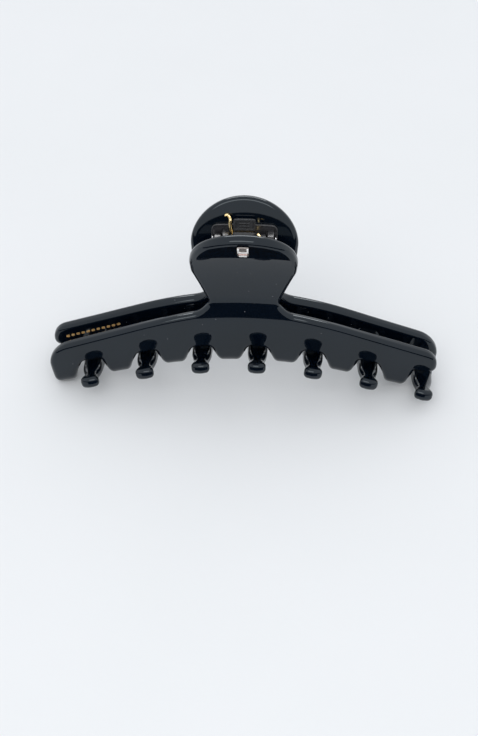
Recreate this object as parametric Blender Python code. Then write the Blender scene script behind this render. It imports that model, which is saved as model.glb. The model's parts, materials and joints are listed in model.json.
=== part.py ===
"""Claw clip: two identical formed jaws that close on interlocking teeth, on a sprung pin hinge.

Each jaw is one sheet, cut flat as a blank and then bent. A point of the blank is (a, b): a runs
along the clip and b up the jaw, with b = 0 at the narrowest part of the neck. The profile bends b
in the Y-Z plane, and the arch lowers the wings towards their ends. Every mesh is modelled about
the hinge axis, with the front jaw towards -Y, and the whole clip is then stood on its jaws.
"""
import math

import bmesh
import bpy
from mathutils import Matrix, Vector

MM = 0.001

# Sheet and profile, in millimetres and degrees. A profile is a run of (length, angle at its end).
SHEET = 3.4
HALF = SHEET / 2
CHAMFER = 0.8
NECK_FROM_PIVOT = 21.2
NECK_OUT = 2.5
NECK_FLARE = 19.0
PROFILE_DOWN = ((2.8, 19), (1.8, 4), (7.5, 0), (5.2, -5), (5.0, -106), (9.0, -109), (8.0, -120))
PROFILE_UP = ((1.6, -12), (2.4, 4), (9.5, 11), (5.5, 15.5), (13.0, 34))
PROFILE_STEP = 0.1
ARCH_RADIUS = 110.0
ARCH_HALF = 30.0        # beyond this the wings run straight

# Blank.
TEETH = 7
PITCH = 16.0
FIRST_TOOTH = -PITCH / 4 - (TEETH // 2) * PITCH
ROOT = -16.3
ROOT_RISE = 1.6         # the roots climb by this much from the middle tooth to an end tooth
NOTCH_HALF = 2.3
NOTCH = 2.0             # height of the notch between two teeth above their roots
TOOTH = ((4.6, 0.0), (3.5, 2.8), (3.0, 6.5), (2.7, 11.5), (1.85, 16.2), (2.5, 18.6), (2.35, 20.0))
TOOTH_LENGTH = 20.8
WING_TOP = -1.8
LOBE_END = -56.3
LOBE_TOP = -6.4
LOBE_RADIUS = 6.2
PLAIN_END = 55.7
PLAIN_TOP = -5.6
PLAIN_TOP_RADIUS = 3.6
PLAIN_LOW_RADIUS = 2.9
NECK_HALF = 9.8
NECK_AT = 0.9
NECK_RADIUS = 2.0
SHOULDER_WIDTH = 3.0
SHOULDER_RADIUS = 5.0
TAB_HALF = 15.0
TAB_WIDEST = 18.5
TAB_RISE = 12.8
TAB_SIDE = 3.6
TAB_SIDE_RADIUS = 6.0

# Hinge. Its two leaves are alike, and each carries two knuckles.
GAP = 0.3
LEAF_HALF = 9.1
LEAF_LOW = 12.2
LEAF_HIGH = 24.0
LEAF_THICK = 0.8
LEAF_CORNER = 1.4
PLATE_CHAMFER = 0.2
LUG_THICK = 1.8
LUG_RADIUS = 2.0
LUG_PLACES = (-7.3, 5.1)
LUG_WEB = (14.5, 23.0)
PIN_RADIUS = 0.8
PIN_CLEARANCE = 0.08
PIN_HEAD_RADIUS = 1.4
PIN_HEAD_THICK = 0.6
PIN_HEAD_AT = 8.5
SEAT_HALF = 3.0
SEAT_LOW = 22.6
SEAT_HIGH = 25.6
SEAT_THICK = 1.2
SEAT_CORNER = 0.7

# Spring, wound from one wire: a leg, the coil and the other leg.
WIRE_RADIUS = 0.45
COIL_RADIUS = 1.5
COIL_TURNS = 4.5
COIL_HALF = 2.8
LEG_AT_LUG = 3.4
LEG_BESIDE_SEAT = 3.85
LEG_TIP = 26.2
LEG_HOOK = 1.3
LEG_BEND = 0.7

# Badge: a plain flat metal tile on the front tab.
BADGE_HALF = 1.6
BADGE_LOW = 24.4
BADGE_HIGH = 30.6
BADGE_THICK = 0.6
BADGE_CORNER = 0.4


def half_profile(pieces, start_angle, way):
    """Rows (b, y, z, angle) along the sheet's middle, up from the neck (way 1) or down (way -1)."""
    b, y, z, angle = 0.0, -NECK_OUT, -NECK_FROM_PIVOT, start_angle
    rows = [(b, y, z, angle)]
    for length, end_angle in pieces:
        count = max(2, round(length / PROFILE_STEP))
        step = length / count
        turn = (end_angle - angle) / count
        for _ in range(count):
            mean = math.radians(angle + turn / 2)
            b += way * step
            y -= math.sin(mean) * step
            z += way * math.cos(mean) * step
            angle += turn
            rows.append((b, y, z, angle))
    return rows


def profile_rows():
    """The whole profile from a tooth's tip to the tab's top, each angle measured going down."""
    down = half_profile(PROFILE_DOWN, NECK_FLARE, -1)
    up = half_profile(PROFILE_UP, -NECK_FLARE, 1)
    return down[::-1] + [(b, y, z, -angle) for b, y, z, angle in up[1:]]


PROFILE = profile_rows()


def at_profile(b):
    """Y, Z and angle of the sheet's middle at b."""
    low, high = 0, len(PROFILE) - 1
    while high - low > 1:
        middle = (low + high) // 2
        if PROFILE[middle][0] <= b:
            low = middle
        else:
            high = middle
    first, last = PROFILE[low], PROFILE[high]
    t = (b - first[0]) / (last[0] - first[0])
    return [first[i] + (last[i] - first[i]) * t for i in (1, 2, 3)]


def formed(a, b, out):
    """Place of the blank's point (a, b), at a distance out from the middle of the sheet."""
    y, z, angle = at_profile(b)
    angle = math.radians(angle)
    slope = max(-ARCH_HALF, min(a, ARCH_HALF)) / ARCH_RADIUS
    drop = slope * (a - slope * ARCH_RADIUS / 2)
    normal = Vector((slope * math.sin(angle), -math.cos(angle), math.sin(angle))).normalized()
    return (Vector((a, y, z - drop)) + normal * out) * MM


def bend_rows(low, high, turn=8.0, reach=5.0):
    """Values of b between low and high where the profile has turned or run far enough."""
    rows = []
    last_b, last_angle = low, at_profile(low)[2]
    for b, _, _, angle in PROFILE:
        if low < b < high and (abs(angle - last_angle) >= turn or b - last_b >= reach):
            rows.append(b)
            last_b, last_angle = b, angle
    return rows


def arc(centre, radii, start, end, count):
    """Points along an ellipse's arc, angles in degrees."""
    angles = [math.radians(start + (end - start) * i / count) for i in range(count + 1)]
    return [(centre[0] + radii[0] * math.cos(t), centre[1] + radii[1] * math.sin(t)) for t in angles]


def rounded(corners, count=4):
    """A run of (x, y, radius) corners, counter-clockwise or clockwise, with its corners rounded."""
    points = []
    for i, (x, y, radius) in enumerate(corners):
        if radius == 0:
            points.append((x, y))
            continue
        corner = Vector((x, y))
        before = (Vector(corners[i - 1][:2]) - corner).normalized()
        after = (Vector(corners[(i + 1) % len(corners)][:2]) - corner).normalized()
        half_angle = before.angle(after) / 2
        centre = corner + (before + after).normalized() * (radius / math.sin(half_angle))
        reach = radius / math.tan(half_angle)
        start = corner + before * reach - centre
        turn = math.pi - 2 * half_angle
        if before.cross(after) > 0:
            turn = -turn
        for k in range(count + 1):
            points.append(tuple(centre + Matrix.Rotation(turn * k / count, 2) @ start))
    return points


def smooth(points, per_span):
    """A Catmull-Rom curve through the points."""
    ends = [Vector(p) for p in points]
    ends = [ends[0] * 2 - ends[1]] + ends + [ends[-1] * 2 - ends[-2]]
    curve = []
    for p0, p1, p2, p3 in zip(ends, ends[1:], ends[2:], ends[3:]):
        for k in range(per_span):
            t = k / per_span
            bend = (p0 * 2 - p1 * 5 + p2 * 4 - p3) * t * t
            twist = (p1 * 3 - p0 - p2 * 3 + p3) * t ** 3
            curve.append(tuple((p1 * 2 + (p2 - p0) * t + bend + twist) / 2))
    curve.append(tuple(ends[-2]))
    return curve


def root_at(a):
    """b of the teeth's roots at a."""
    return ROOT + ROOT_RISE * (a / FIRST_TOOTH) ** 2


def teeth_edge():
    """The lower edge of the blank, from the lobe to the plain end."""
    points = [(LOBE_END + 0.25, root_at(LOBE_END) + 0.4)]
    for k in range(TEETH):
        centre = FIRST_TOOTH + k * PITCH
        root = root_at(centre)
        left = [(centre - half, root - down) for half, down in TOOTH]
        right = [(centre + half, root - down) for half, down in reversed(TOOTH)]
        if k == 0:
            left = left[1:]
        notch = centre + PITCH / 2
        points += left + [(centre, root - TOOTH_LENGTH)] + right
        points += [(notch + side, root_at(notch) + NOTCH) for side in (-NOTCH_HALF, 0, NOTCH_HALF)]
    return smooth(points, 2)


def jaw_outline():
    """The outline of a jaw's blank, counter-clockwise from the lobe's lower edge."""
    plain_low = root_at(PLAIN_END) + NOTCH
    shoulder = NECK_HALF + SHOULDER_WIDTH
    side = TAB_WIDEST - TAB_SIDE
    right = rounded([(0, plain_low, 0), (PLAIN_END, plain_low, PLAIN_LOW_RADIUS),
                     (PLAIN_END, PLAIN_TOP, PLAIN_TOP_RADIUS), (shoulder, WING_TOP, SHOULDER_RADIUS),
                     (NECK_HALF, NECK_AT, NECK_RADIUS), (TAB_HALF - GAP, side, TAB_SIDE_RADIUS),
                     (TAB_HALF, TAB_WIDEST, 0)])
    left = rounded([(-TAB_HALF, TAB_WIDEST, 0), (GAP - TAB_HALF, side, TAB_SIDE_RADIUS),
                    (-NECK_HALF, NECK_AT, NECK_RADIUS), (-shoulder, WING_TOP, SHOULDER_RADIUS),
                    (LOBE_END, LOBE_TOP, LOBE_RADIUS), (LOBE_END, ROOT, 0)])
    tab = arc((0, TAB_WIDEST), (TAB_HALF, TAB_RISE), 0, 180, 26)
    return teeth_edge() + right[1:-1] + tab + left[1:-1]


def plate_outline(half, low, high, radius):
    """A rectangle with round corners, centred on a = 0."""
    corners = ((-half, low), (half, low), (half, high), (-half, high))
    return rounded([(a, b, radius) for a, b in corners])


def cut(bm, place, normal):
    """Cut every face where it crosses a plane."""
    bmesh.ops.bisect_plane(bm, geom=bm.verts[:] + bm.edges[:] + bm.faces[:],
                           plane_co=place, plane_no=normal, dist=1e-4)


def face_out(bm):
    """Turn a closed bmesh's faces outwards."""
    bmesh.ops.recalc_face_normals(bm, faces=bm.faces[:])
    if bm.calc_volume(signed=True) < 0:
        bmesh.ops.reverse_faces(bm, faces=bm.faces[:])


def sheet_solid(outline, columns, low_out, high_out, chamfer):
    """A bmesh of the part of the sheet inside the outline, bent, between two distances out."""
    bm = bmesh.new()
    face = bm.faces.new([bm.verts.new((x, y, 0)) for x, y in outline])
    face.normal_update()
    bmesh.ops.inset_region(bm, faces=[face], thickness=chamfer, use_boundary=True, use_even_offset=True)
    levels = [y for _, y in outline]
    for b in bend_rows(min(levels) + 0.2, max(levels) - 0.2):
        cut(bm, (0, b, 0), (0, 1, 0))
    for a in columns:
        cut(bm, (a, 0, 0), (1, 0, 0))
    bmesh.ops.remove_doubles(bm, verts=bm.verts[:], dist=0.02)
    bmesh.ops.triangulate(bm, faces=bm.faces[:])
    rim = bm.verts.layers.int.new("rim")
    for vert in bm.verts:
        vert[rim] = int(vert.is_boundary)
    raised = bmesh.ops.extrude_face_region(bm, geom=bm.faces[:])["geom"]
    outer = {v for v in raised if isinstance(v, bmesh.types.BMVert)}
    for vert in bm.verts:
        inset = chamfer if vert[rim] else 0
        out = high_out - inset if vert in outer else low_out + inset
        vert.co = formed(vert.co.x, vert.co.y, out)
    face_out(bm)
    return bm


def material(name, colour, roughness, metallic):
    """A Principled material."""
    made = bpy.data.materials.new(name)
    made.use_nodes = True
    shader = made.node_tree.nodes["Principled BSDF"]
    shader.inputs["Base Color"].default_value = (*colour, 1)
    shader.inputs["Roughness"].default_value = roughness
    shader.inputs["Metallic"].default_value = metallic
    return made


def add(name, bm, finish, stand, turned):
    """Make an object of a bmesh, about the hinge axis; turned ones face the other way."""
    mesh = bpy.data.meshes.new(name)
    bm.to_mesh(mesh)
    bm.free()
    mesh.materials.append(finish)
    made = bpy.data.objects.new(name, mesh)
    made.parent = stand
    if turned:
        made.rotation_euler = (0, 0, math.pi)
    bpy.context.scene.collection.objects.link(made)
    return made


def as_helper(made):
    """Keep an object for Boolean modifiers only."""
    made.hide_render = True
    made.display_type = "WIRE"
    return made


def boolean(target, operation, tool):
    """Add an exact Boolean modifier."""
    modifier = target.modifiers.new(f"{operation.lower()} {tool.name}", "BOOLEAN")
    modifier.operation = operation
    modifier.solver = "EXACT"
    modifier.object = tool


def turned_solid(profile, sides=24):
    """A bmesh turned about X from (x, radius) rows; it is closed by flat ends."""
    bm = bmesh.new()
    rings = []
    for x, radius in profile:
        angles = [2 * math.pi * k / sides for k in range(sides)]
        rings.append([bm.verts.new((x * MM, radius * math.cos(t) * MM, radius * math.sin(t) * MM))
                      for t in angles])
    for ring, following in zip(rings, rings[1:]):
        for k in range(sides):
            bm.faces.new((ring[k], ring[k - 1], following[k - 1], following[k]))
    bm.faces.new(rings[0])
    bm.faces.new(rings[-1])
    face_out(bm)
    return bm


def lug_solid(place):
    """A knuckle: a disc about the pin, drawn out to two lines inside the leaf."""
    bm = bmesh.new()
    inside_leaf = -(HALF + GAP + LEAF_THICK / 2)
    for x in (place - LUG_THICK / 2, place + LUG_THICK / 2):
        for y, z in arc((0, 0), (LUG_RADIUS, LUG_RADIUS), 0, 345, 23):
            bm.verts.new((x * MM, y * MM, z * MM))
        for b in LUG_WEB:
            foot = formed(place, b, inside_leaf)
            bm.verts.new((x * MM, foot.y, foot.z))
    hull = bmesh.ops.convex_hull(bm, input=bm.verts[:])
    spare = {v for v in hull["geom_interior"] + hull["geom_unused"] if isinstance(v, bmesh.types.BMVert)}
    bmesh.ops.delete(bm, geom=list(spare), context="VERTS")
    face_out(bm)
    return bm


def add_leaf(name, finish, stand, turned):
    """A hinge leaf: a bent plate under the tab with two bored knuckles."""
    outline = plate_outline(LEAF_HALF, LEAF_LOW, LEAF_HIGH, LEAF_CORNER)
    top = -(HALF + GAP)
    plate = sheet_solid(outline, (), top - LEAF_THICK, top, PLATE_CHAMFER)
    leaf = add(name, plate, finish, stand, turned)
    for i, place in enumerate(LUG_PLACES):
        lug = add(f"{name}_lug_{i}", lug_solid(place), finish, stand, turned)
        boolean(leaf, "UNION", as_helper(lug))
    reach = LUG_PLACES[1] - LUG_PLACES[0]
    hole = PIN_RADIUS + PIN_CLEARANCE
    bore = add(f"{name}_bore", turned_solid([(-reach, hole), (reach, hole)]), finish, stand, turned)
    boolean(leaf, "DIFFERENCE", as_helper(bore))


def add_seat(name, finish, stand, turned):
    """The block that the spring's leg lies beside, on the leaf's upper edge."""
    outline = plate_outline(SEAT_HALF, SEAT_LOW, SEAT_HIGH, SEAT_CORNER)
    top = -(HALF + GAP + LEAF_THICK + GAP)
    add(name, sheet_solid(outline, (), top - SEAT_THICK, top, PLATE_CHAMFER), finish, stand, turned)


def pin_profile():
    """Rows of the pin, with a peened head at each end."""
    end = PIN_HEAD_AT + PIN_HEAD_THICK
    edge = PIN_HEAD_THICK / 3
    half = [(PIN_HEAD_AT, PIN_RADIUS), (PIN_HEAD_AT, PIN_HEAD_RADIUS),
            (end - edge, PIN_HEAD_RADIUS), (end, PIN_HEAD_RADIUS - edge)]
    return [(-x, radius) for x, radius in reversed(half)] + half


def leg_points():
    """The leg on the rear tab, from its hooked tip down to the leaf's lower part."""
    on_tab = -(HALF + GAP + WIRE_RADIUS)
    on_leaf = on_tab - 2 * GAP - LEAF_THICK
    beside = LEG_BESIDE_SEAT
    rows = [(beside + LEG_HOOK, LEG_TIP, on_tab), (beside + LEG_BEND, LEG_TIP, on_tab),
            (beside, LEG_TIP - LEG_BEND, on_leaf), (beside, LEAF_HIGH, on_leaf),
            (LEG_AT_LUG, LEAF_HIGH - 3 * LEG_BEND, on_leaf)]
    front = [formed(a, b, out) / MM for a, b, out in rows]
    return [Vector((-p.x, -p.y, p.z)) for p in front]


def spring_points():
    """Centre line of the whole wire, the same seen from the front and from the rear."""
    leg = smooth([tuple(p) for p in leg_points()] + [(-COIL_HALF, COIL_RADIUS, 0.0)], 2)[:-1]
    count = round(COIL_TURNS * 14)
    coil = []
    for i in range(count + 1):
        turn = -2 * math.pi * COIL_TURNS * i / count
        x = -COIL_HALF + 2 * COIL_HALF * i / count
        coil.append((x, COIL_RADIUS * math.cos(turn), COIL_RADIUS * math.sin(turn)))
    other_leg = [(-x, -y, z) for x, y, z in reversed(leg)]
    return leg + coil + other_leg


def add_spring(name, finish, stand):
    """The torsion spring, as a round wire along its centre line."""
    curve = bpy.data.curves.new(name, "CURVE")
    curve.dimensions = "3D"
    curve.bevel_depth = WIRE_RADIUS * MM
    curve.bevel_resolution = 2
    curve.use_fill_caps = True
    points = spring_points()
    spline = curve.splines.new("POLY")
    spline.points.add(len(points) - 1)
    for point, place in zip(spline.points, points):
        point.co = (*(Vector(place) * MM), 1)
    curve.materials.append(finish)
    spring = bpy.data.objects.new(name, curve)
    spring.parent = stand
    bpy.context.scene.collection.objects.link(spring)


def add_jaw(name, finish, stand, turned):
    """A jaw, and how far its lowest point lies below the hinge axis."""
    columns = [PITCH / 2 * k for k in range(1 - TEETH, TEETH)]
    bm = sheet_solid(jaw_outline(), columns, -HALF, HALF, CHAMFER)
    depth = -min(vert.co.z for vert in bm.verts)
    add(name, bm, finish, stand, turned)
    return depth


def add_badge(finish, stand):
    """The badge: a flat chamfered tile laid across the hollow of the front tab's outer face."""
    foot = formed(0, BADGE_LOW, HALF + GAP)
    up = formed(0, BADGE_HIGH, HALF + GAP) - foot
    tall = up.length / MM
    bm = bmesh.new()
    corners = plate_outline(BADGE_HALF, 0, tall, BADGE_CORNER)
    base = bm.faces.new([bm.verts.new((x * MM, y * MM, 0)) for x, y in corners])
    raised = bmesh.ops.extrude_face_region(bm, geom=[base])["geom"]
    straight = (BADGE_THICK - PLATE_CHAMFER) * MM
    for vert in raised:
        if isinstance(vert, bmesh.types.BMVert):
            vert.co.z += straight
    top = [face for face in raised if isinstance(face, bmesh.types.BMFace)]
    bm.normal_update()
    chamfer = PLATE_CHAMFER * MM
    bmesh.ops.inset_region(bm, faces=top, thickness=chamfer, depth=chamfer, use_even_offset=True)
    face_out(bm)
    badge = add("badge_tile", bm, finish, stand, False)
    up.normalize()
    along = Vector((1, 0, 0))
    badge.matrix_local = Matrix((along, up, along.cross(up))).transposed().to_4x4()
    badge.location = foot


def build():
    """Make the whole clip, standing on its teeth with its hinge above the origin."""
    for old in list(bpy.data.objects):
        bpy.data.objects.remove(old, do_unlink=True)
    stand = bpy.data.objects.new("hinge_axis", None)
    bpy.context.scene.collection.objects.link(stand)
    black = (0.006, 0.006, 0.008)
    for side, turned in (("front", False), ("rear", True)):
        depth = add_jaw(f"{side}_jaw", material(f"{side} jaw gloss black", black, 0.08, 0), stand, turned)
        add_leaf(f"{side}_hinge_leaf", material(f"{side} leaf black", black, 0.2, 0), stand, turned)
        add_seat(f"{side}_spring_seat", material(f"{side} seat black", black, 0.25, 0), stand, turned)
    pin = turned_solid(pin_profile())
    add("hinge_pin", pin, material("pin steel", (0.55, 0.55, 0.56), 0.3, 1), stand, False)
    add_spring("torsion_spring", material("spring brass", (0.85, 0.66, 0.33), 0.25, 1), stand)
    add_badge(material("badge metal", (0.8, 0.78, 0.75), 0.25, 1), stand)
    stand.location = (0, 0, depth)


build()
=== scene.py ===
"""The claw clip's looks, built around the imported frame: jaws, hinge, spring, badge and studio."""
import json
import math
from collections import namedtuple

import bpy
import numpy as np
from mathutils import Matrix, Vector
from mathutils.geometry import delaunay_2d_cdt


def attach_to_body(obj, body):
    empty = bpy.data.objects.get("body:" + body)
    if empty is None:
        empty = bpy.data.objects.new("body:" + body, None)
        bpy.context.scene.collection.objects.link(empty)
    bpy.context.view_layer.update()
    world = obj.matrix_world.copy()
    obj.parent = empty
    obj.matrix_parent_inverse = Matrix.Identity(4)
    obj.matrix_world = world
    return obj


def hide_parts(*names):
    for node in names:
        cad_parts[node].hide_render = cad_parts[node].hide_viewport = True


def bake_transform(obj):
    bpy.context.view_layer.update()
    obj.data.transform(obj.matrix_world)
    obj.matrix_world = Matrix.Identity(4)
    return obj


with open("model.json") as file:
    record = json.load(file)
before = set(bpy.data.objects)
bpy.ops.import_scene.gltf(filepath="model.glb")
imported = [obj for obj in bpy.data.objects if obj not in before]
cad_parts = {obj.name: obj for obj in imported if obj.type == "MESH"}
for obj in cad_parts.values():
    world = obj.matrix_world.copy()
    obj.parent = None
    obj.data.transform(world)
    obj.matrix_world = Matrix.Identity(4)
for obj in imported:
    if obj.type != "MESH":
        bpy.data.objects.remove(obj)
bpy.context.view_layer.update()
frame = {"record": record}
MM = 0.001
PIVOT = np.array(frame["record"]["behaviour"]["joints"][0]["pos_m"])

# Sheet and profile, in millimetres and degrees. A profile is a run of (length, angle at its end).
SHEET = 3.4
HALF = SHEET / 2
OUTER_ROUND = 1.5
INNER_ROUND = 1.3
NECK_FROM_PIVOT = 21.2
NECK_OUT = 2.5
NECK_FLARE = 19.0
PROFILE_DOWN = ((2.8, 19), (1.8, 4), (7.5, 0), (5.2, -5), (5.0, -106), (9.0, -109), (8.0, -120))
PROFILE_UP = ((1.6, -12), (2.4, 4), (9.5, 11), (5.5, 15.5), (13.0, 34))
PROFILE_STEP = 0.05
ARCH_RADIUS = 110.0
ARCH_HALF = 30.0
TURN_PER_ROW = 6.0      # degrees of bend worth as much mesh as a millimetre of sheet

# Blank.
TEETH = 7
PITCH = 16.0
FIRST_TOOTH = -PITCH / 4 - (TEETH // 2) * PITCH
ROOT = -16.3
ROOT_RISE = 1.6
NOTCH_HALF = 2.3
NOTCH = 2.0
TOOTH = ((4.6, 0.0), (3.5, 2.8), (3.0, 6.5), (2.7, 11.5), (1.85, 16.2), (2.5, 18.6), (2.35, 20.0))
TOOTH_LENGTH = 20.8
WING_TOP = -1.8
LOBE_END = -56.3
LOBE_TOP = -6.4
LOBE_RADIUS = 6.2
PLAIN_END = 55.7
PLAIN_TOP = -5.6
PLAIN_TOP_RADIUS = 3.6
PLAIN_LOW_RADIUS = 2.9
NECK_HALF = 9.8
NECK_AT = 0.9
NECK_RADIUS = 2.0
SHOULDER_WIDTH = 3.0
SHOULDER_RADIUS = 5.0
TAB_HALF = 15.0
TAB_WIDEST = 18.5
TAB_RISE = 12.8
TAB_SIDE = 3.6
TAB_SIDE_RADIUS = 6.0

# Hinge, spring and badge.
GAP = 0.3
LEAF_HALF = 9.1
LEAF_LOW = 12.2
LEAF_HIGH = 24.0
LEAF_THICK = 0.8
LEAF_CORNER = 1.4
LUG_THICK = 1.8
LUG_RADIUS = 2.0
LUG_PLACES = (-7.3, 5.1)
LUG_WEB = (14.5, 23.0)
LUG_EASE = 0.2          # round of a knuckle's edges
PIN_RADIUS = 0.8
PIN_CLEARANCE = 0.08
PIN_HEAD_RADIUS = 1.4
PIN_HEAD_THICK = 0.6
PIN_HEAD_AT = 8.5
PIN_HEAD_EDGE = 0.12
SEAT_HALF = 3.0
SEAT_LOW = 22.6
SEAT_HIGH = 25.6
SEAT_THICK = 1.2
SEAT_CORNER = 0.7
SEAT_RIM = 0.55
SEAT_RECESS = 0.35
SEAT_BAR_HALF = 1.5
SEAT_BAR_NEAR = 0.2     # a plain bar's edges, from the recess's middle
SEAT_BAR_FAR = 0.5
SEAT_BAR_CORNER = 0.13
WIRE_RADIUS = 0.45
COIL_RADIUS = 1.5
COIL_TURNS = 4.5
COIL_HALF = 2.8
LEG_AT_LUG = 3.4
LEG_BESIDE_SEAT = 3.85
LEG_TIP = 26.2
LEG_HOOK = 1.3
LEG_BEND = 0.7
BADGE_HALF = 1.6
BADGE_LOW = 24.4
BADGE_HIGH = 30.6
BADGE_THICK = 0.6
BADGE_CORNER = 0.4
BADGE_EDGE = 0.08       # tile left uncovered round its frame
BADGE_BAR = 0.5
BADGE_BAR_CORNER = 0.12
BADGE_BAR_DEPTH = 0.25
FOIL_DASHES = 11
FOIL_START = 36.0
FOIL_PITCH = 1.5
FOIL_LENGTH = 1.0
FOIL_HIGH = 3.4         # a dash's edges, below the wing's upper edge
FOIL_LOW = 4.3
FOIL_CORNER = 0.15
FOIL_PROUD = 0.03
FOIL_SUNK = 0.02


# ---------------------------------------------------------------- the formed sheet

def half_profile(pieces, start_angle, way):
    """Rows (b, y, z, angle) along the sheet's middle, up from the neck (way 1) or down (way -1)."""
    b, y, z, angle = 0.0, -NECK_OUT, -NECK_FROM_PIVOT, start_angle
    rows = [(b, y, z, angle)]
    for length, end_angle in pieces:
        count = max(2, round(length / PROFILE_STEP))
        step = length / count
        turn = (end_angle - angle) / count
        for _ in range(count):
            mean = math.radians(angle + turn / 2)
            b += way * step
            y -= math.sin(mean) * step
            z += way * math.cos(mean) * step
            angle += turn
            rows.append((b, y, z, angle))
    return rows


def profile_table():
    """Columns b, y, z, angle of the whole profile, and of the mesh's own measure along it."""
    down = half_profile(PROFILE_DOWN, NECK_FLARE, -1)
    up = half_profile(PROFILE_UP, -NECK_FLARE, 1)
    rows = np.array(down[::-1] + [(b, y, z, -angle) for b, y, z, angle in up[1:]])
    steps = np.diff(rows[:, 0])
    turns = np.abs(np.diff(rows[:, 3]))
    measure = np.concatenate([[0.0], np.cumsum(np.maximum(steps, turns / TURN_PER_ROW))])
    return (*rows.T, measure)


B_ROW, Y_ROW, Z_ROW, ANGLE_ROW, MEASURE_ROW = profile_table()


def frames(ab):
    """Places on the sheet's middle, its tangents along a and b, and its outward normals."""
    a, b = ab[:, 0], ab[:, 1]
    angle = np.radians(np.interp(b, B_ROW, ANGLE_ROW))
    slope = np.clip(a, -ARCH_HALF, ARCH_HALF) / ARCH_RADIUS
    drop = slope * (a - slope * ARCH_RADIUS / 2)
    nought = np.zeros_like(a)
    place = np.stack([a, np.interp(b, B_ROW, Y_ROW), np.interp(b, B_ROW, Z_ROW) - drop], -1)
    along_a = np.stack([nought + 1, nought, -slope], -1)
    along_b = np.stack([nought, np.sin(angle), np.cos(angle)], -1)
    normal = np.cross(along_a, along_b)
    return place, along_a, along_b, normal / np.linalg.norm(normal, axis=1)[:, None]


def drawn_out(ab):
    """Blank points with the bends drawn out, so that even steps there give an even mesh."""
    return np.stack([ab[:, 0], np.interp(ab[:, 1], B_ROW, MEASURE_ROW)], -1)


def drawn_in(ab):
    """The same backwards."""
    return np.stack([ab[:, 0], np.interp(ab[:, 1], MEASURE_ROW, B_ROW)], -1)


Form = namedtuple("Form", "frames drawn_out drawn_in")
JAW = Form(frames, drawn_out, drawn_in)


def flat_form(origin, along, up):
    """A form whose blank lies flat in space."""
    normal = np.cross(along, up)

    def flat_frames(ab):
        ones = np.ones((len(ab), 1))
        place = origin + ab[:, :1] * along + ab[:, 1:] * up
        return place, ones * along, ones * up, ones * normal

    return Form(flat_frames, lambda ab: ab, lambda ab: ab)


def formed(a, b, out):
    """Place of the blank's point (a, b), at a distance out from the middle of the sheet, in mm."""
    place, _, _, normal = frames(np.array([[a, b]], float))
    return place[0] + normal[0] * out


def arc(centre, radii, start, end, count):
    """Points along an ellipse's arc, angles in degrees."""
    angles = np.radians(np.linspace(start, end, count + 1))
    return [(centre[0] + radii[0] * math.cos(t), centre[1] + radii[1] * math.sin(t))
            for t in angles]


def rounded(corners, count=10):
    """A run of (x, y, radius) corners with its corners rounded."""
    points = []
    for i, (x, y, radius) in enumerate(corners):
        if radius == 0:
            points.append((x, y))
            continue
        corner = np.array((x, y))
        before = np.array(corners[i - 1][:2]) - corner
        after = np.array(corners[(i + 1) % len(corners)][:2]) - corner
        before = before / np.linalg.norm(before)
        after = after / np.linalg.norm(after)
        half_angle = math.acos(float(before @ after)) / 2
        bisector = (before + after) / np.linalg.norm(before + after)
        centre = corner + bisector * (radius / math.sin(half_angle))
        start = corner + before * (radius / math.tan(half_angle)) - centre
        turn = math.pi - 2 * half_angle
        if before[0] * after[1] - before[1] * after[0] > 0:
            turn = -turn
        for k in range(count + 1):
            cos, sin = math.cos(turn * k / count), math.sin(turn * k / count)
            points.append((centre[0] + cos * start[0] - sin * start[1],
                           centre[1] + sin * start[0] + cos * start[1]))
    return points


def smooth(points, per_span):
    """A Catmull-Rom curve through the points."""
    ends = [np.array(p, float) for p in points]
    ends = [ends[0] * 2 - ends[1]] + ends + [ends[-1] * 2 - ends[-2]]
    curve = []
    for p0, p1, p2, p3 in zip(ends, ends[1:], ends[2:], ends[3:]):
        for k in range(per_span):
            t = k / per_span
            bend = (p0 * 2 - p1 * 5 + p2 * 4 - p3) * t * t
            twist = (p1 * 3 - p0 - p2 * 3 + p3) * t ** 3
            curve.append((p1 * 2 + (p2 - p0) * t + bend + twist) / 2)
    curve.append(ends[-2])
    return [tuple(p) for p in curve]


def root_at(a):
    """b of the teeth's roots at a."""
    return ROOT + ROOT_RISE * (a / FIRST_TOOTH) ** 2


def teeth_edge():
    """The lower edge of the blank, from the lobe to the plain end."""
    points = [(LOBE_END + 0.25, root_at(LOBE_END) + 0.4)]
    for k in range(TEETH):
        centre = FIRST_TOOTH + k * PITCH
        root = root_at(centre)
        left = [(centre - half, root - down) for half, down in TOOTH]
        right = [(centre + half, root - down) for half, down in reversed(TOOTH)]
        if k == 0:
            left = left[1:]
        notch = centre + PITCH / 2
        points += left + [(centre, root - TOOTH_LENGTH)] + right
        points += [(notch + side, root_at(notch) + NOTCH) for side in (-NOTCH_HALF, 0, NOTCH_HALF)]
    return smooth(points, 8)


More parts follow.
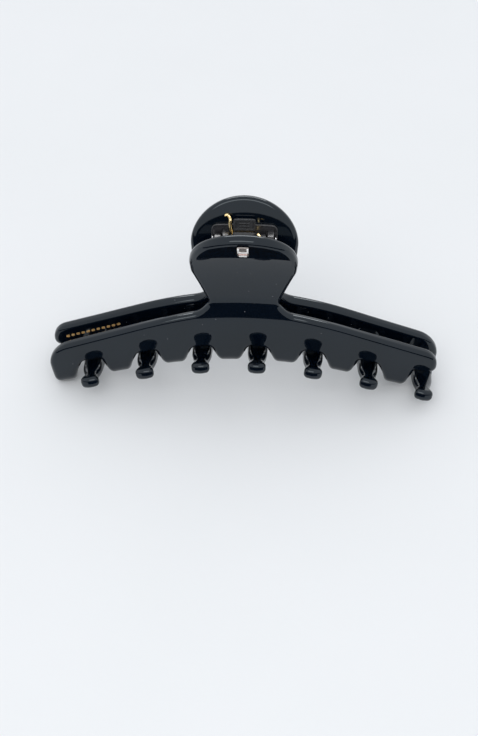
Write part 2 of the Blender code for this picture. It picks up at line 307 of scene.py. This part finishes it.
def jaw_outline():
    """The outline of a jaw's blank, counter-clockwise from the lobe's lower edge."""
    plain_low = root_at(PLAIN_END) + NOTCH
    shoulder = NECK_HALF + SHOULDER_WIDTH
    side = TAB_WIDEST - TAB_SIDE
    right = rounded([(0, plain_low, 0), (PLAIN_END, plain_low, PLAIN_LOW_RADIUS),
                     (PLAIN_END, PLAIN_TOP, PLAIN_TOP_RADIUS),
                     (shoulder, WING_TOP, SHOULDER_RADIUS),
                     (NECK_HALF, NECK_AT, NECK_RADIUS), (TAB_HALF - GAP, side, TAB_SIDE_RADIUS),
                     (TAB_HALF, TAB_WIDEST, 0)])
    left = rounded([(-TAB_HALF, TAB_WIDEST, 0), (GAP - TAB_HALF, side, TAB_SIDE_RADIUS),
                    (-NECK_HALF, NECK_AT, NECK_RADIUS), (-shoulder, WING_TOP, SHOULDER_RADIUS),
                    (LOBE_END, LOBE_TOP, LOBE_RADIUS), (LOBE_END, ROOT, 0)])
    tab = arc((0, TAB_WIDEST), (TAB_HALF, TAB_RISE), 0, 180, 90)
    return teeth_edge() + right[1:-1] + tab + left[1:-1]


def plate_outline(low_a, high_a, low_b, high_b, radius):
    """A rectangle of the blank with round corners."""
    corners = ((low_a, low_b), (high_a, low_b), (high_a, high_b), (low_a, high_b))
    return rounded([(a, b, radius) for a, b in corners])


def evenly(form, outline, step):
    """The closed outline's points at an even step, measured with its bends drawn out."""
    ab = np.array(outline + outline[:1])
    lengths = np.linalg.norm(np.diff(form.drawn_out(ab), axis=0), axis=1)
    runs = np.concatenate([[0.0], np.cumsum(lengths)])
    places = np.linspace(0, runs[-1], max(12, round(runs[-1] / step)), endpoint=False)
    even = np.stack([np.interp(places, runs, ab[:, i]) for i in (0, 1)], -1)
    return (np.roll(even, -1, 0) + 2 * even + np.roll(even, 1, 0)) / 4


def fill(form, rim, spacing):
    """Triangles over the inside of a rim of blank points, and the extra points they use."""
    edge = form.drawn_out(rim)
    lows, highs = edge.min(0), edge.max(0)
    rows = np.arange(lows[1] + spacing / 3, highs[1], spacing)
    columns = np.arange(lows[0] + spacing / 3, highs[0], spacing)
    grid = [(x + spacing / 2 * (i % 2), y) for i, y in enumerate(rows) for x in columns]
    grid = np.array(grid or [tuple((lows + highs) / 2)])
    x, y = grid.T
    inside = np.zeros(len(grid), bool)
    following = np.roll(edge, -1, 0)
    for (x0, y0), (x1, y1) in zip(edge, following):
        if y0 == y1:
            continue
        crosses = (y0 > y) != (y1 > y)
        inside ^= crosses & (x < (x1 - x0) * (y - y0) / (y1 - y0) + x0)
    grid = grid[inside]
    nearest = np.array([np.min(np.hypot(*(edge - p).T)) for p in grid])
    grid = grid[nearest > spacing * 0.55] if len(grid) else grid
    points = [Vector(p) for p in edge] + [Vector(p) for p in grid]
    made = delaunay_2d_cdt(points, [], [list(range(len(edge)))], 1, 1e-6)
    flat = np.array([tuple(p) for p in made[0]])
    triangles = []
    for face in made[2]:
        (ax, ay), (bx, by), (cx, cy) = (flat[v] for v in face[:3])
        turn = (bx - ax) * (cy - ay) - (by - ay) * (cx - ax)
        triangles.append(tuple(face) if turn > 0 else tuple(reversed(face)))
    return form.drawn_in(flat[len(edge):]), triangles


def sheet_parts(outline, low, high, low_round, high_round, form=JAW, step=0.45, spacing=1.1,
                rings=5):
    """Vertices in mm about the hinge, faces and normals of a piece of sheet with round edges."""
    edge = evenly(form, outline, step)
    tangent = np.roll(edge, -1, 0) - np.roll(edge, 1, 0)
    tangent /= np.linalg.norm(tangent, axis=1)[:, None]
    inward = np.stack([-tangent[:, 1], tangent[:, 0]], -1)
    inset = max(low_round, high_round)
    turns = np.radians(np.linspace(0, 90, rings + 1))
    rows = [(high_round * (1 - math.cos(t)), high - high_round * (1 - math.sin(t)), t)
            for t in turns[::-1]]
    rows += [(low_round * (1 - math.cos(t)), low + low_round * (1 - math.sin(t)), -t)
             for t in turns]
    if high_round < inset:
        rows.insert(0, (inset, high, math.pi / 2))
    if low_round < inset:
        rows.append((inset, low, -math.pi / 2))
    vertices, normals, faces = [], [], []
    for depth, out, tilt in rows:
        ab = edge + inward * depth
        place, along_a, along_b, normal = form.frames(ab)
        line = along_a * tangent[:, :1] + along_b * tangent[:, 1:]
        side = np.cross(line, normal)
        side /= np.linalg.norm(side, axis=1)[:, None]
        vertices.append(place + normal * out)
        normals.append(side * math.cos(tilt) + normal * math.sin(tilt))
    count = len(edge)
    for k in range(len(rows) - 1):
        first = k * count
        for i in range(count):
            j = (i + 1) % count
            faces.append((first + i, first + count + i, first + count + j, first + j))
    extra, triangles = fill(form, edge + inward * inset, spacing)
    last = (len(rows) - 1) * count
    total = len(rows) * count
    for level, out, sign, start in ((0, high, 1, total), (last, low, -1, total + len(extra))):
        if len(extra):
            place, _, _, normal = form.frames(extra)
            vertices.append(place + normal * out)
            normals.append(normal * sign)
        for face in triangles:
            corners = [level + v if v < count else start + v - count for v in face]
            faces.append(tuple(corners) if sign > 0 else tuple(reversed(corners)))
    return np.concatenate(vertices), np.concatenate(normals), faces


# ---------------------------------------------------------------- other solids, in mm

def loft(rows, closed_ends=True):
    """Vertices, normals and faces through rings of equal length; each row is (points, normals)."""
    count = len(rows[0][0])
    vertices = np.concatenate([np.array(points, float) for points, _ in rows])
    normals = np.concatenate([np.array(ring, float) for _, ring in rows])
    faces = []
    for k in range(len(rows) - 1):
        for i in range(count):
            j = (i + 1) % count
            faces.append((k * count + i, k * count + j, (k + 1) * count + j, (k + 1) * count + i))
    if closed_ends:
        faces.append(tuple(reversed(range(count))))
        faces.append(tuple(range((len(rows) - 1) * count, len(rows) * count)))
    return vertices, normals, faces


def turned_parts(profile, sides=48):
    """A solid turned about X from (x, radius, normal x, normal r) rows."""
    angles = np.linspace(0, 2 * math.pi, sides, endpoint=False)
    rows = []
    for x, radius, nx, nr in profile:
        points = [(x, radius * math.cos(t), radius * math.sin(t)) for t in angles]
        rows.append((points, [(nx, nr * math.cos(t), nr * math.sin(t)) for t in angles]))
    return loft(rows)


def tube_parts(path, radius, sides=16):
    """A round wire along a path, with domed ends."""
    path = np.array(path, float)
    ahead = np.gradient(path, axis=0)
    ahead /= np.linalg.norm(ahead, axis=1)[:, None]
    across = np.cross(ahead[0], (0.3, 0.2, 1.0))
    rows = []
    angles = np.linspace(0, 2 * math.pi, sides, endpoint=False)

    def ring(centre, forward, side, size, lean):
        up = np.cross(forward, side)
        spokes = [side * math.cos(t) + up * math.sin(t) for t in angles]
        points = [centre + spoke * size for spoke in spokes]
        return points, [spoke * math.cos(lean) + forward * math.sin(lean) for spoke in spokes]

    last = len(path) - 1
    for i, (centre, forward) in enumerate(zip(path, ahead)):
        across = across - forward * (across @ forward)
        across /= np.linalg.norm(across)
        if i == 0:
            for lean in np.radians((80, 60, 40, 20)):
                tip = centre - forward * radius * math.sin(lean)
                rows.append(ring(tip, forward, across, radius * math.cos(lean), -lean))
        rows.append(ring(centre, forward, across, radius, 0))
        if i == last:
            for lean in np.radians((20, 40, 60, 80)):
                tip = centre + forward * radius * math.sin(lean)
                rows.append(ring(tip, forward, across, radius * math.cos(lean), lean))
    return loft(rows)


def lug_parts(place):
    """A bored knuckle about the pin, with its web to the leaf."""
    angles = np.linspace(0, 2 * math.pi, 96, endpoint=False)
    directions = np.stack([np.cos(angles), np.sin(angles)], -1)
    feet = [formed(place, b, -(HALF + GAP + LEAF_THICK / 2))[1:] for b in LUG_WEB]
    hull = hull_of(np.concatenate([directions * LUG_RADIUS, feet]))
    reach = np.array([ray_to_hull(d, hull) for d in directions])
    outer = directions * reach[:, None]
    side = np.roll(outer, -1, 0) - np.roll(outer, 1, 0)
    normal = np.stack([side[:, 1], -side[:, 0]], -1)
    normal /= np.linalg.norm(normal, axis=1)[:, None]
    hole = PIN_RADIUS + PIN_CLEARANCE
    left, right = place - LUG_THICK / 2, place + LUG_THICK / 2
    rows = []

    def ring(x, points, facing, lean):
        spots = [(x, y, z) for y, z in points]
        return spots, [(math.sin(lean), *(n * math.cos(lean))) for n in facing]

    rows.append(ring(left, directions * hole, -directions, 0))
    rows.append(ring(left, directions * hole, -directions, -math.pi / 2))
    for x, way, turns in ((left, 1, (90, 60, 30, 0)), (right, -1, (0, 30, 60, 90))):
        for turn in np.radians(turns):
            points = outer - normal * LUG_EASE * (1 - math.cos(turn))
            inward = way * LUG_EASE * (1 - math.sin(turn))
            rows.append(ring(x + inward, points, normal, -way * turn))
    rows.append(ring(right, directions * hole, -directions, math.pi / 2))
    rows.append(ring(right, directions * hole, -directions, 0))
    rows.append(ring(left, directions * hole, -directions, 0))
    return loft(rows, closed_ends=False)


def hull_of(points):
    """The convex hull of points in a plane, counter-clockwise."""
    ordered = sorted(map(tuple, points))

    def half(run):
        chain = []
        for p in run:
            while len(chain) > 1:
                (ax, ay), (bx, by) = chain[-2], chain[-1]
                if (bx - ax) * (p[1] - ay) - (by - ay) * (p[0] - ax) > 0:
                    break
                chain.pop()
            chain.append(p)
        return chain[:-1]

    return np.array(half(ordered) + half(ordered[::-1]))


def ray_to_hull(direction, hull):
    """How far a ray from the origin runs before it leaves the hull around it."""
    following = np.roll(hull, -1, 0)
    side = following - hull
    facing = np.stack([side[:, 1], -side[:, 0]], -1)
    approach = facing @ direction
    distance = np.sum(facing * hull, axis=1)
    ahead = approach > 1e-9
    return float(np.min(distance[ahead] / approach[ahead]))


# ---------------------------------------------------------------- objects

def make(name, parts, finish, turned=False):
    """An object from lists of (vertices, normals, faces) in mm about the hinge axis."""
    places, facing, faces = [], [], []
    start = 0
    for vertices, normals, polygons in parts:
        places.append(vertices)
        facing.append(normals)
        faces += [tuple(v + start for v in polygon) for polygon in polygons]
        start += len(vertices)
    places, facing = np.concatenate(places), np.concatenate(facing)
    if turned:
        places, facing = places * (-1, -1, 1), facing * (-1, -1, 1)
    facing = facing / np.maximum(np.linalg.norm(facing, axis=1), 1e-9)[:, None]
    mesh = bpy.data.meshes.new(name)
    mesh.from_pydata((places * MM + PIVOT).tolist(), [], faces)
    mesh.shade_smooth()
    mesh.normals_split_custom_set_from_vertices(facing.tolist())
    mesh.materials.append(finish)
    made = bpy.data.objects.new(name, mesh)
    bpy.context.scene.collection.objects.link(made)
    return made


def attach(piece, body, slot, *nodes):
    """Let a piece ride on a body and stand for CAD nodes. The slot is not used."""
    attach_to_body(piece, body)
    if nodes:
        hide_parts(*nodes)


# ---------------------------------------------------------------- materials

EVEN = (1, 1, 1)
WHITE = (1, 1, 1)


def link_noise(tree, scale, detail=2.0, stretch=EVEN):
    """The value of a noise over the object's own coordinates; scale is per metre."""
    place = tree.nodes.new("ShaderNodeTexCoord")
    mapping = tree.nodes.new("ShaderNodeMapping")
    mapping.inputs["Scale"].default_value = stretch
    noise = tree.nodes.new("ShaderNodeTexNoise")
    noise.inputs["Scale"].default_value = scale
    noise.inputs["Detail"].default_value = detail
    tree.links.new(place.outputs["Object"], mapping.inputs["Vector"])
    tree.links.new(mapping.outputs["Vector"], noise.inputs["Vector"])
    return noise.outputs["Fac"]


def link_range(tree, value, low, high, to_low, to_high):
    """A value carried from one range to another."""
    ranged = tree.nodes.new("ShaderNodeMapRange")
    for name, number in (("From Min", low), ("From Max", high), ("To Min", to_low),
                         ("To Max", to_high)):
        ranged.inputs[name].default_value = number
    tree.links.new(value, ranged.inputs["Value"])
    return ranged.outputs["Result"]


def link_mix(tree, factor, first, second):
    """A mix of two colours; each is a colour or a socket."""
    mix = tree.nodes.new("ShaderNodeMix")
    mix.data_type = "RGBA"
    tree.links.new(factor, mix.inputs["Factor"])
    for name, colour in (("A", first), ("B", second)):
        socket = next(i for i in mix.inputs if i.name == name and i.type == "RGBA")
        if isinstance(colour, tuple):
            socket.default_value = (*colour, 1)
        else:
            tree.links.new(colour, socket)
    return next(o for o in mix.outputs if o.type == "RGBA")


def link_specks(tree, scale, size):
    """A mask of sparse specks of dust, over the object's own coordinates."""
    place = tree.nodes.new("ShaderNodeTexCoord")
    cells = tree.nodes.new("ShaderNodeTexVoronoi")
    cells.inputs["Scale"].default_value = scale
    tree.links.new(place.outputs["Object"], cells.inputs["Vector"])
    near = link_range(tree, cells.outputs["Distance"], size * 0.6, size, 1, 0)
    chosen = link_range(tree, link_noise(tree, scale * 0.35, 0), 0.58, 0.6, 0, 1)
    both = tree.nodes.new("ShaderNodeMath")
    both.operation = "MULTIPLY"
    tree.links.new(near, both.inputs[0])
    tree.links.new(chosen, both.inputs[1])
    return both.outputs["Value"]


def surface(name, dark, light, grain, rough, metallic=0.0, bumps=(), specks=None, ior=1.5,
            tint=WHITE):
    """A Principled material varied by noise.

    grain is the colour noise's scale per metre, rough a (low, high, scale) of roughness, each
    bump a (scale, height in metres, stretch), specks a (scale, size, colour) of dust, and tint the
    colour of its reflections.
    """
    made = bpy.data.materials.new(name)
    made.use_nodes = True
    tree = made.node_tree
    shader = tree.nodes["Principled BSDF"]
    shader.inputs["Metallic"].default_value = metallic
    shader.inputs["IOR"].default_value = ior
    shader.inputs["Specular Tint"].default_value = (*tint, 1)
    mottle = link_range(tree, link_noise(tree, grain, 3), 0.3, 0.7, 0, 1)
    colour = link_mix(tree, mottle, dark, light)
    low, high, scale = rough
    roughness = link_range(tree, link_noise(tree, scale, 3), 0.3, 0.75, low, high)
    if specks:
        scale, size, dust = specks
        mask = link_specks(tree, scale, size)
        colour = link_mix(tree, mask, colour, dust)
        lifted = tree.nodes.new("ShaderNodeMath")
        lifted.operation = "MAXIMUM"
        tree.links.new(roughness, lifted.inputs[0])
        tree.links.new(mask, lifted.inputs[1])
        roughness = lifted.outputs["Value"]
    tree.links.new(colour, shader.inputs["Base Color"])
    tree.links.new(roughness, shader.inputs["Roughness"])
    normal = None
    for scale, height, stretch in bumps:
        bump = tree.nodes.new("ShaderNodeBump")
        bump.inputs["Distance"].default_value = height
        tree.links.new(link_noise(tree, scale, 2, stretch), bump.inputs["Height"])
        if normal:
            tree.links.new(normal, bump.inputs["Normal"])
        normal = bump.outputs["Normal"]
    if normal:
        tree.links.new(normal, shader.inputs["Normal"])
    return made


# The acetate is black; the blue in these colours and in the tint of its reflections is painted
# light, standing for the bluish cast of the surrounding light.
ACETATE = surface("black acetate", (0.0006, 0.0022, 0.0052), (0.0016, 0.0038, 0.0082), 70,
                  (0.035, 0.075, 260), specks=(420, 0.06, (0.16, 0.16, 0.17)),
                  bumps=((55, 5e-5, EVEN), (500, 1.5e-6, (0.15, 1, 1))), tint=(0.86, 0.95, 1.0))
LACQUER = surface("black lacquer", (0.012, 0.012, 0.014), (0.024, 0.024, 0.027), 600,
                  (0.14, 0.26, 900), bumps=((1500, 4e-6, EVEN),), ior=1.55)
SEAT_LACQUER = surface("seat lacquer", (0.02, 0.021, 0.023), (0.04, 0.041, 0.044), 900,
                       (0.2, 0.34, 1200), bumps=((2500, 5e-6, EVEN),), ior=1.55)
PIN_STEEL = surface("pin steel", (0.42, 0.42, 0.43), (0.6, 0.6, 0.6), 900,
                    (0.2, 0.36, 1500), 1.0, bumps=((2600, 3e-6, (6, 1, 1)),))
SPRING_WIRE = surface("gold spring wire", (0.78, 0.56, 0.22), (0.95, 0.76, 0.42), 700,
                      (0.12, 0.26, 1600), 1.0, bumps=((2400, 3e-6, (1, 1, 0.2)),))
TILE_METAL = surface("tile metal", (0.3, 0.27, 0.25), (0.46, 0.42, 0.4), 1500,
                     (0.5, 0.7, 2600), 1.0, bumps=((3200, 3e-6, (1, 0.15, 0.15)),))
BRIGHT_METAL = surface("bright metal", (0.9, 0.89, 0.87), (0.98, 0.97, 0.95), 1500,
                       (0.5, 0.65, 2600), 0.35, bumps=((3200, 2e-6, (1, 0.15, 0.15)),))
ROSE_METAL = surface("rose metal", (0.72, 0.5, 0.44), (0.9, 0.7, 0.64), 1500,
                     (0.5, 0.65, 2600), 0.35, bumps=((3200, 2e-6, (1, 0.15, 0.15)),))
FOIL = surface("gold foil", (0.75, 0.36, 0.09), (1.0, 0.72, 0.34), 2600,
               (0.4, 0.65, 2200), 0.5, bumps=((3000, 6e-6, EVEN),))
FLOOR = surface("pale floor", (0.80, 0.81, 0.815), (0.815, 0.822, 0.83), 14,
                (0.75, 0.9, 60), bumps=((900, 2e-5, EVEN),), ior=1.2)
FLAG_CLOTH = surface("flag cloth", (0.004, 0.004, 0.005), (0.008, 0.008, 0.009), 300,
                     (0.8, 0.95, 300))


# ---------------------------------------------------------------- the clip

def make_jaw(side, turned):
    """A jaw with polished round edges; the viewer's side of its sheet is rounded the most."""
    parts = [sheet_parts(jaw_outline(), -HALF, HALF, INNER_ROUND, OUTER_ROUND)]
    jaw = make(f"{side}_jaw_polished", parts, ACETATE, turned)
    attach(jaw, side, "jaw", f"{side}_jaw")


def make_leaf(side, turned):
    """A hinge leaf: its plate, and two knuckles."""
    outline = plate_outline(-LEAF_HALF, LEAF_HALF, LEAF_LOW, LEAF_HIGH, LEAF_CORNER)
    top = -(HALF + GAP)
    parts = [sheet_parts(outline, top - LEAF_THICK, top, 0.3, 0.15, step=0.3, spacing=0.9)]
    parts += [lug_parts(place) for place in LUG_PLACES]
    leaf = make(f"{side}_leaf_pressed", parts, LACQUER, turned)
    attach(leaf, side, "hinge_leaf", f"{side}_hinge_leaf")


def make_seat(side, turned):
    """The block beside the spring's leg: a frame round a shallow recess with plain bars."""
    foot = -(HALF + GAP + LEAF_THICK + GAP)
    face = foot - SEAT_THICK
    recess = face + SEAT_RECESS
    parts = [sheet_parts(plate_outline(-SEAT_HALF, SEAT_HALF, SEAT_LOW, SEAT_HIGH, SEAT_CORNER),
                         recess, foot, 0.05, 0.1, step=0.2, spacing=0.6)]
    frame_bars = [(-SEAT_HALF, SEAT_HALF, SEAT_LOW, SEAT_LOW + SEAT_RIM),
                  (-SEAT_HALF, SEAT_HALF, SEAT_HIGH - SEAT_RIM, SEAT_HIGH),
                  (-SEAT_HALF, SEAT_RIM - SEAT_HALF, SEAT_LOW, SEAT_HIGH),
                  (SEAT_HALF - SEAT_RIM, SEAT_HALF, SEAT_LOW, SEAT_HIGH)]
    middle = (SEAT_LOW + SEAT_HIGH) / 2
    plain_bars = [(-SEAT_BAR_HALF, SEAT_BAR_HALF, middle + SEAT_BAR_NEAR, middle + SEAT_BAR_FAR),
                  (-SEAT_BAR_HALF, SEAT_BAR_HALF, middle - SEAT_BAR_FAR, middle - SEAT_BAR_NEAR)]
    for bars, corner in ((frame_bars, SEAT_RIM / 2.2), (plain_bars, SEAT_BAR_CORNER)):
        for bar in bars:
            parts.append(sheet_parts(plate_outline(*bar, corner), face, recess + 0.1, 0.1, 0.02,
                                     step=0.1, spacing=0.4, rings=3))
    seat = make(f"{side}_seat_framed", parts, SEAT_LACQUER, turned)
    attach(seat, side, "spring_seat", f"{side}_spring_seat")


def pin_rows():
    """The pin's turned profile, with a domed head at each end."""
    crown = PIN_HEAD_AT + PIN_HEAD_THICK / 2
    half = [(PIN_HEAD_AT, PIN_RADIUS, 0, 1), (PIN_HEAD_AT, PIN_RADIUS, -1, 0),
            (PIN_HEAD_AT, PIN_HEAD_RADIUS - PIN_HEAD_EDGE, -1, 0),
            (PIN_HEAD_AT + PIN_HEAD_EDGE, PIN_HEAD_RADIUS, 0, 1)]
    for turn in np.radians(np.linspace(0, 88, 12)):
        half.append((crown + PIN_HEAD_THICK / 2 * math.sin(turn), PIN_HEAD_RADIUS * math.cos(turn),
                     PIN_HEAD_RADIUS * math.sin(turn), PIN_HEAD_THICK / 2 * math.cos(turn)))
    return [(-x, radius, -nx, nr) for x, radius, nx, nr in reversed(half)] + half


def spring_path():
    """Centre line of the whole wire, the same seen from the front and from the rear."""
    on_tab = -(HALF + GAP + WIRE_RADIUS)
    on_leaf = on_tab - 2 * GAP - LEAF_THICK
    beside = LEG_BESIDE_SEAT
    rows = [(beside + LEG_HOOK, LEG_TIP, on_tab), (beside + LEG_BEND, LEG_TIP, on_tab),
            (beside, LEG_TIP - LEG_BEND, on_leaf), (beside, LEAF_HIGH, on_leaf),
            (LEG_AT_LUG, LEAF_HIGH - 3 * LEG_BEND, on_leaf)]
    front = [formed(a, b, out) for a, b, out in rows]
    leg = [(-x, -y, z) for x, y, z in front] + [(-COIL_HALF, COIL_RADIUS, 0.0)]
    leg = smooth(leg, 10)[:-1]
    count = round(COIL_TURNS * 40)
    coil = []
    for i in range(count + 1):
        turn = -2 * math.pi * COIL_TURNS * i / count
        coil.append((COIL_HALF * (2 * i / count - 1), COIL_RADIUS * math.cos(turn),
                     COIL_RADIUS * math.sin(turn)))
    return leg + coil + [(-x, -y, z) for x, y, z in reversed(leg)]


def make_badge():
    """The tile on the front tab, with a plain open frame and two plain bars."""
    foot = formed(0, BADGE_LOW, HALF + GAP)
    up = formed(0, BADGE_HIGH, HALF + GAP) - foot
    tall = float(np.linalg.norm(up))
    form = flat_form(foot, np.array([1.0, 0, 0]), up / tall)
    tile = sheet_parts(plate_outline(-BADGE_HALF, BADGE_HALF, 0, tall, BADGE_CORNER), 0,
                       BADGE_THICK - 0.2, 0.02, 0.08, form, step=0.15, spacing=0.6, rings=3)
    attach(make("badge_tile_plate", [tile], TILE_METAL), "front", "badge", "badge_tile")

    def bars(rows):
        return [sheet_parts(plate_outline(*row, BADGE_BAR_CORNER), BADGE_THICK - BADGE_BAR_DEPTH,
                            BADGE_THICK, 0.02, 0.1, form, step=0.08, spacing=0.4, rings=3)
                for row in rows]

    edge = BADGE_HALF - BADGE_EDGE
    frame_low = tall * 0.46
    upright = tall - 0.1
    frame_bars = [(-edge, BADGE_BAR - edge, frame_low, upright),
                  (edge - BADGE_BAR, edge, frame_low, upright),
                  (-edge, edge, frame_low, frame_low + BADGE_BAR),
                  (-edge * 0.72, edge * 0.72, 0.12, 0.85)]
    attach(make("badge_frame_bars", bars(frame_bars), BRIGHT_METAL), "front", "badge")
    rose_bars = [(-edge * 0.8, edge * 0.8, 1.35, 2.1)]
    attach(make("badge_rose_bar", bars(rose_bars), ROSE_METAL), "front", "badge")


def make_foil():
    """A row of plain foil dashes on the rear wing's inner face, near its plain end."""
    parts = []
    fall = (PLAIN_TOP - WING_TOP) / (PLAIN_END - NECK_HALF)
    for k in range(FOIL_DASHES):
        a = FOIL_START + FOIL_PITCH * k
        b = WING_TOP + (a - NECK_HALF - SHOULDER_WIDTH) * fall
        outline = plate_outline(a, a + FOIL_LENGTH, b - FOIL_LOW, b - FOIL_HIGH, FOIL_CORNER)
        parts.append(sheet_parts(outline, -HALF - FOIL_PROUD, -HALF + FOIL_SUNK, 0.01, 0.01,
                                 step=0.15, rings=1))
    attach(make("foil_dashes", parts, FOIL, True), "rear", "badge")


for side, turned in (("front", False), ("rear", True)):
    make_jaw(side, turned)
    make_leaf(side, turned)
    make_seat(side, turned)
pin = make("hinge_pin_turned", [turned_parts(pin_rows())], PIN_STEEL)
attach(pin, "front", "hinge_pin", "hinge_pin")
spring = make("torsion_spring_wire", [tube_parts(spring_path(), WIRE_RADIUS)], SPRING_WIRE)
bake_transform(spring)
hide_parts("torsion_spring")
make_badge()
make_foil()


# ---------------------------------------------------------------- studio

def panel(name, width, depth, finish):
    """A flat rectangle facing +Z."""
    mesh = bpy.data.meshes.new(name)
    w, d = width / 2, depth / 2
    mesh.from_pydata([(-w, -d, 0), (w, -d, 0), (w, d, 0), (-w, d, 0)], [], [(0, 1, 2, 3)])
    mesh.materials.append(finish)
    made = bpy.data.objects.new(name, mesh)
    bpy.context.scene.collection.objects.link(made)
    return made


def softbox(name, place, target, width, depth, radiance):
    """An area light of a given radiance, turned to its target."""
    light = bpy.data.lights.new(name, "AREA")
    light.shape = "RECTANGLE"
    light.size, light.size_y = width, depth
    light.energy = radiance * math.pi * width * depth
    made = bpy.data.objects.new(name, light)
    made.location = place
    made.rotation_mode = "QUATERNION"
    made.rotation_quaternion = (Vector(target) - Vector(place)).to_track_quat("-Z", "Y")
    bpy.context.scene.collection.objects.link(made)
    return made


def sky(strength):
    """An even pale surrounding."""
    world = bpy.data.worlds.new("surrounding")
    world.use_nodes = True
    background = world.node_tree.nodes["Background"]
    background.inputs["Color"].default_value = (0.94, 0.965, 1.0, 1)
    background.inputs["Strength"].default_value = strength
    bpy.context.scene.world = world


def make_camera():
    """The camera, high in front of the clip."""
    distance = 0.5
    frame_height = 207.552 * MM     # what the picture's height covers, at the target
    film = 36
    rise, turn = math.radians(42), math.radians(2)
    target = Vector((0, 0, PIVOT[2] - (NECK_FROM_PIVOT - 3.5) * MM))
    level = math.cos(rise)
    back = Vector((math.sin(turn) * level, -math.cos(turn) * level, math.sin(rise)))
    data = bpy.data.cameras.new("camera")
    data.sensor_fit = "AUTO"
    data.sensor_width = film
    data.lens = distance / frame_height * film
    data.shift_x = -0.0069293
    data.shift_y = -0.107337
    data.clip_start = 0.01
    data.clip_end = 20
    camera = bpy.data.objects.new("camera", data)
    camera.location = target + back * distance
    camera.rotation_mode = "QUATERNION"
    camera.rotation_quaternion = (-back).to_track_quat("-Z", "Y")
    bpy.context.scene.collection.objects.link(camera)
    bpy.context.scene.camera = camera


def dark_flag(name, width, depth, place, lean):
    """A dark card seen only in reflections, leaning by degrees from flat."""
    flag = panel(name, width, depth, FLAG_CLOTH)
    flag.location = place
    flag.rotation_euler = (math.radians(lean), 0, 0)
    flag.visible_camera = False
    flag.visible_diffuse = False
    flag.visible_shadow = False


panel("floor", 6, 6, FLOOR)
dark_flag("front_flag", 1.2, 0.05, (0, -0.115, 0.02), 90)
# This card only imitates the dark band that the photograph shows under the front tab's rim.
# Painted dark reflection: the card darkens what the tab's lower face mirrors under its rim.
dark_flag("tab_painted_reflection_card", 0.026, 0.006, (0, -0.0102, 0.0515), 0)
sky(0.97)
softbox("back_softbox", (0, 0.9, 0.85), (0, 0, 0.03), 1.1, 0.35, 6.0).visible_diffuse = False
softbox("front_softbox", (-0.1, -0.9, 1.1), (0, -0.2, 0), 1.2, 0.5, 2.6)
bpy.context.scene.view_settings.view_transform = "Standard"
make_camera()
